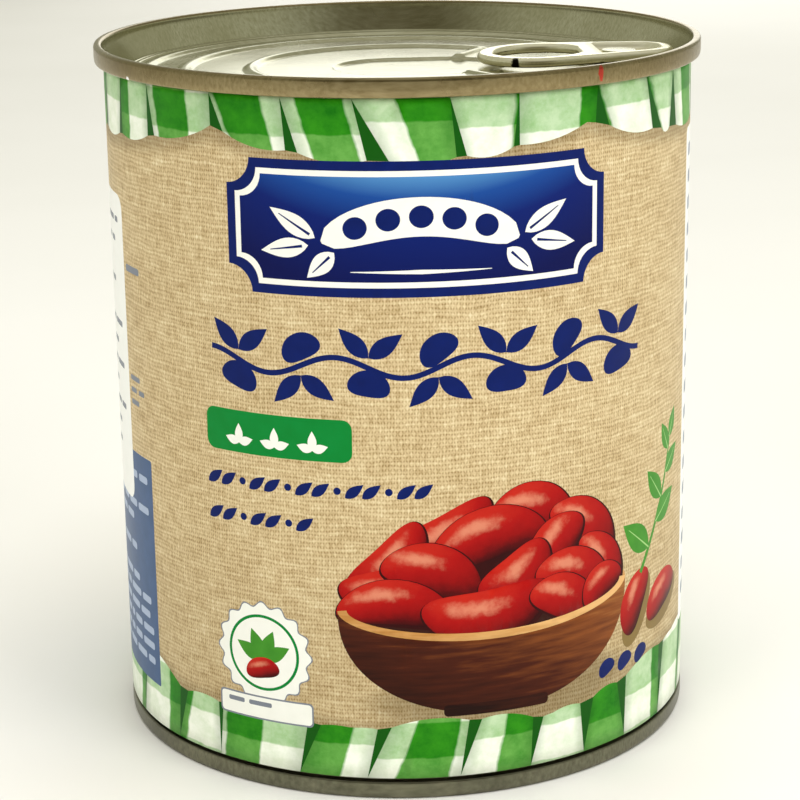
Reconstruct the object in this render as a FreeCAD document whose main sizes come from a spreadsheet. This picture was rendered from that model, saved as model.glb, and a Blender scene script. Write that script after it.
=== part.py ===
import FreeCAD, Part

# A large easy-open food can, shut and full: a welded tinplate body, necked in at the foot so that
# cans stack, an easy-open top end with a ring pull, a plain bottom end, and a paper wrap label.
# Millimetres, +Z up. The origin is the middle of the foot, and the label's front faces -Y.

import math
import os

import Sketcher
from FreeCAD import Placement, Rotation, Vector

DIMENSIONS = {
    # the whole can
    "can_height": 118.0,
    "body_radius": 49.5,
    "sheet_thickness": 0.8,
    # double seam round the top
    "top_seam_radius": 51.2,
    "top_seam_wall": 1.3,
    "top_seam_height": 3.1,
    "top_seam_round": 0.6,
    "seam_lip_round": 0.35,
    # easy-open end: depths are measured down from the seam's top
    "countersink_depth": 6.4,
    "countersink_radius": 48.4,
    "countersink_width": 1.6,
    "land_depth": 4.9,
    "land_width": 1.7,
    "land_step": 0.4,
    "floor_depth": 5.4,
    "score_width": 0.4,
    "score_depth": 0.15,
    "outer_bead_radius": 43.4,
    "outer_bead_width": 2.6,
    "middle_bead_radius": 36.2,
    "middle_bead_width": 2.4,
    "bead_rise": 0.5,
    # the inner bead is an open hook, whose ends fold back beside the ring pull
    "hook_bead_radius": 26.0,
    "hook_bead_width": 2.2,
    "hook_tip_across": 17.6,
    "hook_heel_across": 11.4,
    "hook_heel_reach": 8.6,
    "hook_edge_round": 0.3,
    # finger well under the free end of the ring
    "well_radius": 10.2,
    "well_back": 0.6,
    "well_front": 8.0,
    "well_depth": 0.45,
    # rivet that the end is drawn up into, through the ring pull
    "rivet_across": 38.0,
    "rivet_shank_radius": 1.9,
    "rivet_head_radius": 3.0,
    "rivet_head_thickness": 0.5,
    "rivet_head_round": 0.3,
    "rivet_seat_radius": 4.2,
    "rivet_seat_rise": 0.5,
    "rivet_play": 0.15,
    # ring pull
    "tab_length": 33.6,
    "tab_thickness": 1.65,
    "tab_ring_radius": 10.4,
    "tab_nose_radius": 6.8,
    "tab_edge_round": 0.65,
    "tab_start": 13.7,
    "tab_lift": 0.3,
    "tab_turn": 4.0,
    "tab_tilt": 1.1,
    "finger_hole_radius": 7.6,
    "finger_hole_reach": 17.4,
    "plate_thickness": 0.6,
    "plate_start": 20.8,
    "plate_border": 2.2,
    # plain end and its double seam at the foot
    "foot_seam_radius": 49.7,
    "foot_seam_wall": 1.3,
    "foot_seam_height": 2.95,
    "foot_round": 0.35,
    "neck_radius": 48.6,
    "neck_height": 3.7,
    "shoulder_height": 6.2,
    "base_recess": 4.9,
    "base_countersink_height": 5.6,
    "base_countersink_radius": 47.9,
    "base_countersink_width": 1.6,
    "base_countersink_flat": 0.64,
    "base_countersink_bevel": 0.4,
    "base_panel_radius": 45.6,
    "base_outer_bead_radius": 39.0,
    "base_inner_bead_radius": 30.0,
    "base_bead_width": 3.0,
    "base_bead_rise": 0.6,
    # paper label
    "paper_thickness": 0.15,
    "label_foot": 3.65,
    "label_top_gap": 0.2,
    "label_overlap_angle": 9.0,
}

TOLERANCE = 1e-4

doc = FreeCAD.newDocument("food_can")
sheet = doc.addObject("Spreadsheet::Sheet", "dims")
for row, (alias, size) in enumerate(DIMENSIONS.items(), start=1):
    sheet.set(f"A{row}", alias)
    sheet.set(f"B{row}", str(size))
    sheet.setAlias(f"B{row}", alias)
doc.recompute()


def new_body(label):
    """An empty PartDesign body whose Label names the node and its file."""
    body = doc.addObject("PartDesign::Body", label)
    body.Label = label
    return body


def new_sketch(body, name, plane, height=None):
    """A sketch on one of the body's own origin planes, raised to a height along its normal."""
    sketch = body.newObject("Sketcher::SketchObject", name)
    support = next(item for item in body.Origin.OriginFeatures if item.Role == plane)
    sketch.AttachmentSupport = [(support, "")]
    sketch.MapMode = "FlatFace"
    if height is not None:
        sketch.setExpression("AttachmentOffset.Base.z", height)
    return sketch


def bind(sketch, constraint, expression):
    """Adds a constraint and ties its value to the dimension sheet."""
    index = sketch.addConstraint(constraint)
    sketch.setExpression(f"Constraints[{index}]", expression)


def pin_point(sketch, edge, end, across, along):
    """Holds one end of an edge at coordinates given as expressions, "0" meaning on the axis."""
    for expression, axis, kind in ((across, -2, "DistanceX"), (along, -1, "DistanceY")):
        if expression == "0":
            sketch.addConstraint(Sketcher.Constraint("PointOnObject", edge, end, axis))
        else:
            size = float(sheet.evalExpression(expression))
            bind(sketch, Sketcher.Constraint(kind, edge, end, size), expression)


def arc_between(start, finish, radius, turn, wide):
    """The arc of a radius from start to finish, turning left or right, on the short or long way."""
    chord = finish - start
    reach = math.sqrt(max(radius ** 2 - (chord.Length / 2) ** 2, 0.0))
    side = Vector(-chord.y, chord.x, 0).normalize() * reach
    if (turn == "right") != wide:
        side = -side
    centre = (start + finish) / 2 + side
    first, last = (start, finish) if turn == "left" else (finish, start)
    angles = [math.atan2(spot.y - centre.y, spot.x - centre.x) for spot in (first, last)]
    return Part.ArcOfCircle(Part.Circle(centre, Vector(0, 0, 1), radius), *angles)


def draw_outline(sketch, corners):
    """Closes an outline through corners, each (across, along) or with the edge that follows it.

    A corner is two expressions. A third entry (turn, radius) makes the edge that leaves it an arc
    that turns left or right with that radius, and (turn, radius, "wide") the long way round.
    Half a circle is held by its middle, because its radius already follows from its ends.
    """
    spots = [
        Vector(*(float(sheet.evalExpression(text)) for text in corner[:2]), 0) for corner in corners
    ]
    starts, finishes = [], []
    for index, corner in enumerate(corners):
        start, finish = spots[index], spots[(index + 1) % len(spots)]
        if len(corner) == 2:
            edge = sketch.addGeometry(Part.LineSegment(start, finish), False)
            start_end, finish_end = 1, 2
        else:
            turn, radius = corner[2][:2]
            size = float(sheet.evalExpression(radius))
            arc = arc_between(start, finish, size, turn, len(corner[2]) == 3)
            edge = sketch.addGeometry(arc, False)
            start_end, finish_end = (1, 2) if turn == "left" else (2, 1)
            if (finish - start).Length / 2 > size - TOLERANCE:
                sketch.addConstraint(Sketcher.Constraint("Symmetric", edge, 1, edge, 2, edge, 3))
            else:
                bind(sketch, Sketcher.Constraint("Radius", edge, size), radius)
        starts.append((edge, start_end))
        finishes.append((edge, finish_end))
    for index, corner in enumerate(corners):
        sketch.addConstraint(Sketcher.Constraint("Coincident", *finishes[index - 1], *starts[index]))
        pin_point(sketch, *starts[index], *corner[:2])


def draw_circle(sketch, across, radius):
    """A circle centred on the sketch's horizontal axis."""
    centre = Vector(float(sheet.evalExpression(across)), 0, 0)
    size = float(sheet.evalExpression(radius))
    edge = sketch.addGeometry(Part.Circle(centre, Vector(0, 0, 1), size), False)
    pin_point(sketch, edge, 3, across, "0")
    bind(sketch, Sketcher.Constraint("Radius", edge, size), radius)


def turn_about_axis(body, name, corners):
    """Spins an outline of (radius, height) corners about the can's own axis."""
    sketch = new_sketch(body, f"{name}_outline", "XZ_Plane")
    draw_outline(sketch, corners)
    turned = body.newObject("PartDesign::Revolution", name)
    turned.Profile = sketch
    turned.ReferenceAxis = (sketch, ["V_Axis"])
    turned.Angle = 360
    return turned


def pad(body, name, sketch, length):
    raised = body.newObject("PartDesign::Pad", name)
    raised.Profile = sketch
    raised.setExpression("Length", length)
    return raised


def pocket(body, name, sketch, depth):
    """Cuts down from the sketch, and makes sure that the cut really took metal away."""
    doc.recompute()
    before = body.Shape.Volume
    cut = body.newObject("PartDesign::Pocket", name)
    cut.Profile = sketch
    cut.setExpression("Length", depth)
    doc.recompute()
    if not cut.Shape.Volume < before:
        raise RuntimeError(f"{name} cuts nothing")
    return cut


def round_edges(body, name, feature, radius, wanted):
    """Fillets the edges of a feature that the test picks out."""
    doc.recompute()
    names = [f"Edge{i}" for i, edge in enumerate(feature.Shape.Edges, start=1) if wanted(edge)]
    fillet = body.newObject("PartDesign::Fillet", name)
    fillet.Base = (feature, names)
    fillet.setExpression("Radius", radius)
    return fillet


def edge_at_height(height):
    """A test for edges that lie level at a height."""

    def lies_there(edge):
        box = edge.BoundBox
        return abs(box.ZMin - height) < TOLERANCE and abs(box.ZMax - height) < TOLERANCE

    return lies_there


# Heights and radii that two pieces share, as expressions of the sheet.
SEAM_FOOT = "dims.can_height - dims.top_seam_height"
FLOOR = "dims.can_height - dims.floor_depth"
LAND = "dims.can_height - dims.land_depth"
LAND_RADIUS = "dims.countersink_radius - dims.countersink_width"
LAND_EDGE = f"{LAND_RADIUS} - dims.land_width"
FLOOR_EDGE = f"{LAND_EDGE} - dims.land_step"
FLOOR_UNDERSIDE = f"{FLOOR} - dims.sheet_thickness"
SINK_UNDERSIDE = "dims.can_height - dims.countersink_depth - dims.sheet_thickness"
BASE_TOPSIDE = "dims.base_recess + dims.sheet_thickness"
BASE_SINK_TOPSIDE = "dims.base_countersink_height + dims.sheet_thickness"

# The top end's underside, from the axis out, and the bottom end's upper side likewise.
TOP_UNDERSIDE = [
    ("0", FLOOR_UNDERSIDE),
    (f"{FLOOR_EDGE} - dims.sheet_thickness", FLOOR_UNDERSIDE),
    (LAND_EDGE, SINK_UNDERSIDE),
    ("dims.countersink_radius", SINK_UNDERSIDE),
    ("dims.body_radius", SEAM_FOOT),
]
BASE_UPPER_SIDE = [
    ("0", BASE_TOPSIDE),
    ("dims.base_panel_radius - dims.sheet_thickness", BASE_TOPSIDE),
    ("dims.base_panel_radius", BASE_SINK_TOPSIDE),
    ("dims.base_countersink_radius", BASE_SINK_TOPSIDE),
    ("dims.neck_radius", "dims.foot_seam_height"),
]


def bead(radius, width, rise, level, outwards):
    """Two corners of an outline, drawn outwards or inwards, with a low round bead between them."""
    sides = [f"{radius} - {width} / 2", f"{radius} + {width} / 2"]
    start, finish = sides if outwards else sides[::-1]
    curve = f"({width}^2 / 4 + {rise}^2) / (2 * {rise})"
    return [(start, level, ("left", curve)), (finish, level)]


def make_can_body():
    """The welded tinplate wall with all that it holds, from end to end, as one full solid."""
    body = new_body("can_body")
    wall = [
        ("dims.neck_radius", "dims.neck_height"),
        ("dims.body_radius", "dims.shoulder_height"),
    ]
    turn_about_axis(body, "filled_wall", BASE_UPPER_SIDE + wall + TOP_UNDERSIDE[::-1])
    return body


def make_top_end():
    """Easy-open end: seam, chuck wall, countersink, land with its score line, and beaded floor."""
    body = new_body("top_end")
    seam_inside = "dims.top_seam_radius - dims.top_seam_wall"
    score = f"{LAND_RADIUS} - dims.land_width / 2"
    corners = TOP_UNDERSIDE + [
        ("dims.top_seam_radius - dims.seam_lip_round", SEAM_FOOT, ("left", "dims.seam_lip_round")),
        ("dims.top_seam_radius", f"{SEAM_FOOT} + dims.seam_lip_round"),
        ("dims.top_seam_radius", "dims.can_height - dims.top_seam_round",
         ("left", "dims.top_seam_round")),
        ("dims.top_seam_radius - dims.top_seam_round", "dims.can_height"),
        (f"{seam_inside} + dims.top_seam_round", "dims.can_height", ("left", "dims.top_seam_round")),
        (seam_inside, "dims.can_height - dims.top_seam_round"),
        ("dims.countersink_radius", "dims.can_height - dims.countersink_depth"
         " + dims.countersink_width / 2", ("right", "dims.countersink_width / 2")),
        (LAND_RADIUS, "dims.can_height - dims.countersink_depth + dims.countersink_width / 2"),
        (LAND_RADIUS, LAND),
        (f"{score} + dims.score_width / 2", LAND),
        (score, f"{LAND} - dims.score_depth"),
        (f"{score} - dims.score_width / 2", LAND),
        (LAND_EDGE, LAND),
        *bead("dims.outer_bead_radius", "dims.outer_bead_width", "dims.bead_rise", FLOOR, False),
        *bead("dims.middle_bead_radius", "dims.middle_bead_width", "dims.bead_rise", FLOOR, False),
        ("0", FLOOR),
    ]
    turn_about_axis(body, "drawn_shell", corners)

    hook = new_sketch(body, "hook_outline", "XY_Plane", FLOOR)
    tip = "dims.hook_tip_across"
    width = "dims.hook_bead_width"
    outer = "dims.hook_bead_radius"
    inner = f"({outer} - {width})"
    tip_reach = f"sqrt({outer}^2 - {tip}^2)"
    crook = f"({tip} - {width})"
    crook_reach = f"sqrt({inner}^2 - {crook}^2)"
    heel, heel_reach = "dims.hook_heel_across", "dims.hook_heel_reach"
    draw_outline(hook, [
        (tip, tip_reach, ("left", outer, "wide")),
        (tip, f"-{tip_reach}"),
        (heel, f"-{heel_reach}"),
        (f"{heel} - {width} / 2", f"-{heel_reach} - {width} / 2"),
        (crook, f"-{crook_reach}", ("right", inner, "wide")),
        (crook, crook_reach),
        (f"{heel} - {width} / 2", f"{heel_reach} + {width} / 2"),
        (heel, heel_reach),
    ])
    raised = pad(body, "hook_bead", hook, "dims.bead_rise")
    on_bead = edge_at_height(float(sheet.evalExpression(f"{FLOOR} + dims.bead_rise")))
    round_edges(body, "hook_bead_round", raised, "dims.hook_edge_round",
                lambda edge: on_bead(edge) and edge.BoundBox.XMax < sheet.middle_bead_radius)

    well = new_sketch(body, "well_outline", "XY_Plane", FLOOR)
    left, right, side = "-dims.well_back", "dims.well_front", "dims.well_radius"
    draw_outline(well, [
        (left, side, ("left", side)),
        (left, f"-{side}"),
        (right, f"-{side}", ("left", side)),
        (right, side),
    ])
    pocket(body, "finger_well", well, "dims.well_depth")

    seat = new_sketch(body, "rivet_seat_outline", "XY_Plane", FLOOR)
    draw_circle(seat, "dims.rivet_across", "dims.rivet_seat_radius")
    pad(body, "rivet_seat", seat, "dims.rivet_seat_rise")
    plate_top = (
        f"{FLOOR} + dims.tab_lift + dims.plate_thickness"
        " + (dims.rivet_across - dims.tab_start) * tan(dims.tab_tilt * 1 deg)"
    )
    head_foot = f"{plate_top} + dims.rivet_play"
    shank = new_sketch(body, "rivet_shank_outline", "XY_Plane", FLOOR)
    draw_circle(shank, "dims.rivet_across", "dims.rivet_shank_radius")
    pad(body, "rivet_shank", shank, f"{head_foot} - ({FLOOR})")
    head = new_sketch(body, "rivet_head_outline", "XY_Plane", head_foot)
    draw_circle(head, "dims.rivet_across", "dims.rivet_head_radius")
    flat_head = pad(body, "rivet_head", head, "dims.rivet_head_thickness")
    doc.recompute()
    head_level = float(sheet.evalExpression(f"{head_foot} + dims.rivet_head_thickness"))
    round_edges(body, "rivet_head_round", flat_head, "dims.rivet_head_round",
                edge_at_height(head_level))

    body.Placement = Placement(Vector(0, 0, 0), Rotation(Vector(0, 0, 1), sheet.tab_turn))
    body.setExpression("Placement.Rotation.Angle", "dims.tab_turn")
    return body


def make_pull_tab():
    """Ring pull: a curled ring with a D-shaped finger hole, and a nose with a sunken plate."""
    body = new_body("pull_tab")
    ring, nose = "dims.tab_ring_radius", "dims.tab_nose_radius"
    nose_across = "(dims.tab_length - dims.tab_nose_radius)"
    lean = f"({ring} - {nose}) / ({nose_across} - {ring})"
    rise = f"sqrt(1 - ({lean})^2)"

    def touch(centre, radius, side):
        return f"{centre} + {radius} * {lean}", f"{side}{radius} * {rise}"

    outline = new_sketch(body, "tab_outline", "XY_Plane")
    draw_outline(outline, [
        (*touch(ring, ring, ""), ("left", ring, "wide")),
        touch(ring, ring, "-"),
        (*touch(nose_across, nose, "-"), ("left", nose)),
        touch(nose_across, nose, ""),
    ])
    pad(body, "tab_blank", outline, "dims.tab_thickness")

    hole = new_sketch(body, "finger_hole_outline", "XY_Plane", "dims.tab_thickness")
    chord = f"({ring} - dims.finger_hole_reach)"
    half_chord = f"sqrt(dims.finger_hole_radius^2 - {chord}^2)"
    draw_outline(hole, [
        ("dims.finger_hole_reach", half_chord, ("left", "dims.finger_hole_radius", "wide")),
        ("dims.finger_hole_reach", f"-{half_chord}"),
    ])
    pocket(body, "finger_hole", hole, "dims.tab_thickness")

    plate = new_sketch(body, "plate_outline", "XY_Plane", "dims.tab_thickness")
    inner_nose = f"({nose} - dims.plate_border)"
    plate_half = f"({inner_nose} / {rise} + ({nose_across} - dims.plate_start) * ({lean}) / {rise})"
    draw_outline(plate, [
        ("dims.plate_start", plate_half),
        ("dims.plate_start", f"-{plate_half}"),
        (*touch(nose_across, inner_nose, "-"), ("left", inner_nose)),
        touch(nose_across, inner_nose, ""),
    ])
    sunk = pocket(body, "sunken_plate", plate, "dims.tab_thickness - dims.plate_thickness")

    top_level = edge_at_height(DIMENSIONS["tab_thickness"])
    foot_level = edge_at_height(0)
    round_edges(body, "curled_edges", sunk, "dims.tab_edge_round",
                lambda edge: top_level(edge) or foot_level(edge))

    rivet_hole = new_sketch(body, "rivet_hole_outline", "XY_Plane", "dims.plate_thickness")
    draw_circle(rivet_hole, "dims.rivet_across - dims.tab_start",
                "dims.rivet_shank_radius + dims.rivet_play")
    pocket(body, "rivet_hole", rivet_hole, "dims.plate_thickness")

    turn = Rotation(Vector(0, 0, 1), sheet.tab_turn)
    tilt = Rotation(Vector(0, 1, 0), -sheet.tab_tilt)
    floor = sheet.can_height - sheet.floor_depth
    start = turn.multVec(Vector(sheet.tab_start, 0, floor + sheet.tab_lift))
    body.Placement = Placement(start, turn * tilt)
    return body


def make_bottom_end():
    """Plain end at the foot: double seam with a narrow flat to stand on, and a beaded panel."""
    body = new_body("bottom_end")
    inside = "dims.foot_seam_radius - dims.foot_seam_wall"
    sink_edge = "dims.base_countersink_radius - dims.base_countersink_width"
    lower_side = [
        ("0", "dims.base_recess"),
        *bead("dims.base_inner_bead_radius", "dims.base_bead_width", "dims.base_bead_rise",
              "dims.base_recess", True),
        *bead("dims.base_outer_bead_radius", "dims.base_bead_width", "dims.base_bead_rise",
              "dims.base_recess", True),
        (sink_edge, "dims.base_recess"),
        (sink_edge, "dims.base_countersink_height - dims.base_countersink_bevel"),
        ("dims.base_countersink_radius - dims.base_countersink_flat",
         "dims.base_countersink_height"),
        (inside, "dims.foot_round", ("left", "dims.foot_round")),
        (f"{inside} + dims.foot_round", "0"),
        ("dims.foot_seam_radius - dims.foot_round", "0", ("left", "dims.foot_round")),
        ("dims.foot_seam_radius", "dims.foot_round"),
        ("dims.foot_seam_radius", "dims.foot_seam_height - dims.seam_lip_round",
         ("left", "dims.seam_lip_round")),
        ("dims.foot_seam_radius - dims.seam_lip_round", "dims.foot_seam_height"),
    ]
    turn_about_axis(body, "base_shell", lower_side + BASE_UPPER_SIDE[::-1])
    return body


def make_label():
    """Paper wrap, one turn round the wall, with the glued overlap at the back."""
    body = new_body("label")
    inner = "dims.body_radius"
    outer = "(dims.body_radius + dims.paper_thickness)"
    height = f"{SEAM_FOOT} - dims.label_top_gap - dims.label_foot"
    wrap = new_sketch(body, "wrap_outline", "XY_Plane", "dims.label_foot")
    draw_circle(wrap, "0", inner)
    draw_circle(wrap, "0", outer)
    pad(body, "wrap", wrap, height)

    lap = new_sketch(body, "overlap_outline", "XY_Plane", "dims.label_foot")
    far = "(dims.body_radius + 2 * dims.paper_thickness)"
    swing = "(dims.label_overlap_angle / 2 * 1 deg)"
    draw_outline(lap, [
        (f"{far} * sin{swing}", f"{far} * cos{swing}", ("left", far)),
        (f"-{far} * sin{swing}", f"{far} * cos{swing}"),
        (f"-{inner} * sin{swing}", f"{inner} * cos{swing}", ("right", inner)),
        (f"{inner} * sin{swing}", f"{inner} * cos{swing}"),
    ])
    pad(body, "overlap", lap, height)
    return body


PIECES = [make_can_body(), make_bottom_end(), make_top_end(), make_pull_tab(), make_label()]
doc.recompute()

for item in doc.Objects:
    if {"Invalid", "Error"} & set(item.State):
        raise RuntimeError(f"{item.Label} did not compute: {item.State}")
for piece in PIECES:
    if piece.Shape.isNull() or not piece.Shape.isValid() or len(piece.Shape.Solids) != 1:
        raise RuntimeError(f"{piece.Label} is not one sound solid")

os.makedirs("parts", exist_ok=True)
for piece in PIECES:
    piece.Shape.exportStep(f"parts/{piece.Label}.step")
    box = piece.Shape.BoundBox
    print(f"{piece.Label}: {piece.Shape.Volume:.0f} mm3, "
          f"z {box.ZMin:.2f} to {box.ZMax:.2f}, x {box.XMin:.2f} to {box.XMax:.2f}")
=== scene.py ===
import math
import random

import bpy
import numpy as np
from mathutils import Matrix, Vector, geometry


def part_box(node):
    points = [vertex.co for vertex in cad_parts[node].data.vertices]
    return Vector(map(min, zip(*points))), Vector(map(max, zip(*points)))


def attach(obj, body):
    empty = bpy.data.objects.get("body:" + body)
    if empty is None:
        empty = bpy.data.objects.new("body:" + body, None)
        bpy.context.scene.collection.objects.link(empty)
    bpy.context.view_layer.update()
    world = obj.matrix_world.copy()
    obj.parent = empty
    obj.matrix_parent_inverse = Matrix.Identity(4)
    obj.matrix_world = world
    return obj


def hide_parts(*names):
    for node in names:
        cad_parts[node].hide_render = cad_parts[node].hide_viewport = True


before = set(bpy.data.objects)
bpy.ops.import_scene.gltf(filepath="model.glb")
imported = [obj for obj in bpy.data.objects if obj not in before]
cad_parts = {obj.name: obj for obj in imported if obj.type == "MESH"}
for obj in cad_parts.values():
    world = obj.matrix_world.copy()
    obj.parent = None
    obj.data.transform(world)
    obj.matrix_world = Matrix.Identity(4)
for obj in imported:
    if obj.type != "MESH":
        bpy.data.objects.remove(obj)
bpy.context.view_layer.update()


# ---------------------------------------------------------------- filled wall
# The body is a sheet of tinplate rolled into a tube, welded down the back and necked in at the
# foot. Nearly all of it is under the label, so only the neck shows, as a dull dark groove.

MM = 0.001


def linear(colour):
    """An sRGB hex colour as the linear values that shaders work in."""
    parts = [int(colour[i:i + 2], 16) / 255 for i in (1, 3, 5)]
    return [c / 12.92 if c <= 0.04045 else ((c + 0.055) / 1.055) ** 2.4 for c in parts] + [1.0]


def node(tree, kind, inputs=None, stops=(), **settings):
    """Adds a shader node: its settings, its sockets' values or links, and a colour ramp's stops.

    A node that is given as an input is linked by the first of its outputs that is in use.
    """
    made = tree.nodes.new("ShaderNode" + kind)
    for name, value in settings.items():
        setattr(made, name, value)
    for socket, value in (inputs or {}).items():
        if isinstance(value, bpy.types.Node):
            value = next(output for output in value.outputs if output.enabled)
        if isinstance(value, bpy.types.NodeSocket):
            tree.links.new(value, made.inputs[socket])
        else:
            made.inputs[socket].default_value = value
    for _ in stops[2:]:
        made.color_ramp.elements.new(0.5)
    for index, (position, colour) in enumerate(stops):
        made.color_ramp.elements[index].position = position
        made.color_ramp.elements[index].color = linear(colour)
    return made


def start_material(name):
    """An empty material: its node tree, and the shader that the rest is linked to."""
    material = bpy.data.materials.new(name)
    material.use_nodes = True
    return material, material.node_tree, material.node_tree.nodes["Principled BSDF"]


def tinplate(name, light, dark, roughness, grain_mm, grain_depth_mm):
    """Rolled tinplate: steel with a flowed tin coat, whose mill lines run along the sheet.

    It gives a soft mirror with faint streaks across, and cloudy patches where the tin is thicker.
    """
    material, tree, shader = start_material(name)
    place = node(tree, "TexCoord").outputs["Object"]
    lines = node(tree, "Mapping", {"Vector": place, "Scale": (0.06, 1.0, 0.3)})
    grain = node(tree, "TexNoise", {"Vector": lines, "Scale": 1 / (grain_mm * MM), "Detail": 3.0})
    clouds = node(tree, "TexNoise", {"Vector": place, "Scale": 1 / (14 * MM), "Detail": 4.0})
    blend = node(tree, "Math", {0: grain, 1: clouds}, operation="MULTIPLY")
    tone = node(tree, "MapRange", {0: blend, 1: 0.12, 2: 0.42})
    colour = node(tree, "Mix", {"Factor": tone, "A": linear(dark), "B": linear(light)},
                  data_type="RGBA")
    gloss = node(tree, "MapRange", {0: clouds, 1: 0.3, 2: 0.7, 3: roughness - 0.05,
                                    4: roughness + 0.06})
    bump = node(tree, "Bump", {"Height": grain, "Strength": 0.6, "Distance": grain_depth_mm * MM})
    tree.links.new(colour.outputs["Result"], shader.inputs["Base Color"])
    tree.links.new(gloss.outputs[0], shader.inputs["Roughness"])
    tree.links.new(bump.outputs[0], shader.inputs["Normal"])
    shader.inputs["Metallic"].default_value = 1.0
    return material


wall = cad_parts["can_body"]
wall.data.materials.clear()
wall.data.materials.append(tinplate("tinplate_dull", "#8E8878", "#5E5848", 0.42, 0.4, 0.01))


# ---------------------------------------------------------------- bottom end
# A plain disc of tinplate, pressed with a countersink and two stiffening beads, and rolled with
# the wall into a double seam. The can stands on the seam, which is small enough to nest in the
# rim of the can below.

TURN_STEPS = 360
FOOT_SEAM_RADIUS = 49.7
FOOT_SEAM_HEIGHT = 2.95
SEAM_WALL = 1.3
NECK_RADIUS = 48.6
SHEET = 0.8
BEAD_ROUND = 0.45
BASE_BEAD_WIDTH, BASE_BEAD_RISE = 3.2, -0.6


def rounded_path(corners, steps=6):
    """Points along an outline of (radius, height, round) corners, each corner eased by its round."""
    points = [Vector(corners[0][:2])]
    for before, here, after in zip(corners, corners[1:], corners[2:]):
        middle = Vector(here[:2])
        back, on = Vector(before[:2]) - middle, Vector(after[:2]) - middle
        reach = min(here[2], 0.49 * back.length, 0.49 * on.length)
        if reach < 0.01:
            points.append(middle)
            continue
        start, finish = middle + back.normalized() * reach, middle + on.normalized() * reach
        for step in range(steps + 1):
            t = step / steps
            points.append(start * (1 - t) ** 2 + middle * 2 * t * (1 - t) + finish * t ** 2)
    points.append(Vector(corners[-1][:2]))
    return points


def turned(points, relief=None, steps=TURN_STEPS):
    """Vertices (mm) and faces of an outline spun about +Z, closed where it meets the axis.

    The outline runs up the outside and in over the top, so that its faces look outwards.
    relief(x, y, index) is the height to add to a point, by its place and its index in the outline.
    """
    verts, faces, rings = [], [], []
    for index, point in enumerate(points):
        if point[0] < 1e-6:
            rings.append([len(verts)])
            verts.append((0.0, 0.0, point[1] + (relief(0.0, 0.0, index) if relief else 0.0)))
            continue
        ring = []
        for step in range(steps):
            angle = math.tau * step / steps
            x, y = point[0] * math.cos(angle), point[0] * math.sin(angle)
            ring.append(len(verts))
            verts.append((x, y, point[1] + (relief(x, y, index) if relief else 0.0)))
        rings.append(ring)
    for low, high in zip(rings, rings[1:]):
        for step in range(steps):
            after = (step + 1) % steps
            if len(low) == 1:
                faces.append((low[0], high[after], high[step]))
            elif len(high) == 1:
                faces.append((low[step], low[after], high[0]))
            else:
                faces.append((low[step], low[after], high[after], high[step]))
    return verts, faces


def make_piece(name, verts, faces, material, node_name, slot):
    """A smooth mesh piece from points in mm, riding on the can and standing for its CAD node."""
    mesh = bpy.data.meshes.new(name)
    mesh.from_pydata([[c * MM for c in vert] for vert in verts], [], faces)
    mesh.polygons.foreach_set("use_smooth", [True] * len(faces))
    mesh.materials.append(material)
    mesh.update()
    piece = bpy.data.objects.new(name, mesh)
    bpy.context.scene.collection.objects.link(piece)
    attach(piece, "root")
    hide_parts(node_name)
    return piece


def bead(radius, width, level, rise):
    """Corners of a pressed bead in a panel, from the middle of the end outwards."""
    foot, top = width / 2, width / 4
    return [(radius - foot, level, BEAD_ROUND), (radius - top, level + rise, BEAD_ROUND),
            (radius + top, level + rise, BEAD_ROUND), (radius + foot, level, BEAD_ROUND)]


base_panel = 4.9
base_sink = 5.6
foot_inside = FOOT_SEAM_RADIUS - SEAM_WALL
base_outline = rounded_path([
    (0, base_panel, 0),
    *bead(30.0, BASE_BEAD_WIDTH, base_panel, BASE_BEAD_RISE),
    *bead(39.0, BASE_BEAD_WIDTH, base_panel, BASE_BEAD_RISE),
    (46.3, base_panel, 0.35), (46.5, base_sink, 0.4), (47.4, base_sink, 0.4),
    (foot_inside, 0.3, 0.3), (foot_inside + 0.25, 0, 0.25), (FOOT_SEAM_RADIUS - 0.3, 0, 0.3),
    (FOOT_SEAM_RADIUS, 0.5, 0.3), (FOOT_SEAM_RADIUS, FOOT_SEAM_HEIGHT, 0.45),
    (NECK_RADIUS, FOOT_SEAM_HEIGHT, 0.1), (47.9, base_sink + SHEET, 0.2),
    (45.6, base_sink + SHEET, 0.2), (45.2, base_panel + SHEET, 0.2), (0, base_panel + SHEET, 0),
])
end_steel = tinplate("tinplate_bright", "#CFCDB4", "#AEAA8A", 0.22, 0.25, 0.006)
# The foot seam gets a darker, rougher tinplate than the end.
foot_steel = tinplate("dark_foot_tinplate", "#85836F", "#605F50", 0.34, 0.3, 0.012)


def add_mark_and_highlight(material, place, size, colour):
    """A small ragged spot on a surface, for marks and a painted highlight: its place and three half
    sizes in mm, and its colour.
    """
    tree = material.node_tree
    shader = tree.nodes["Principled BSDF"]
    below = shader.inputs["Base Color"].links[0].from_socket
    spot = node(tree, "TexCoord").outputs["Object"]
    rag = node(tree, "TexNoise", {"Vector": spot, "Scale": 1 / (0.5 * MM)})
    off = node(tree, "VectorMath", {0: spot, 1: [c * MM for c in place]}, operation="SUBTRACT")
    scaled = node(tree, "VectorMath", {0: off, 1: [1 / (c * MM) for c in size]},
                  operation="MULTIPLY")
    reach = node(tree, "VectorMath", {0: scaled}, operation="LENGTH")
    ragged = node(tree, "Math", {0: rag, 1: 0.9, 2: reach}, operation="MULTIPLY_ADD")
    cover = node(tree, "MapRange", {0: ragged, 1: 1.45, 2: 1.2})
    mixed = node(tree, "Mix", {"Factor": cover, "A": below, "B": linear(colour)}, data_type="RGBA")
    tree.links.new(mixed.outputs["Result"], shader.inputs["Base Color"])


def finish_seam(piece, inner_radius, material):
    """Gives a seam's faces, those beyond a radius in mm, a material of their own."""
    piece.data.materials.append(material)
    for face in piece.data.polygons:
        if math.hypot(face.center.x, face.center.y) > inner_radius * MM:
            face.material_index = 1


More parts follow.
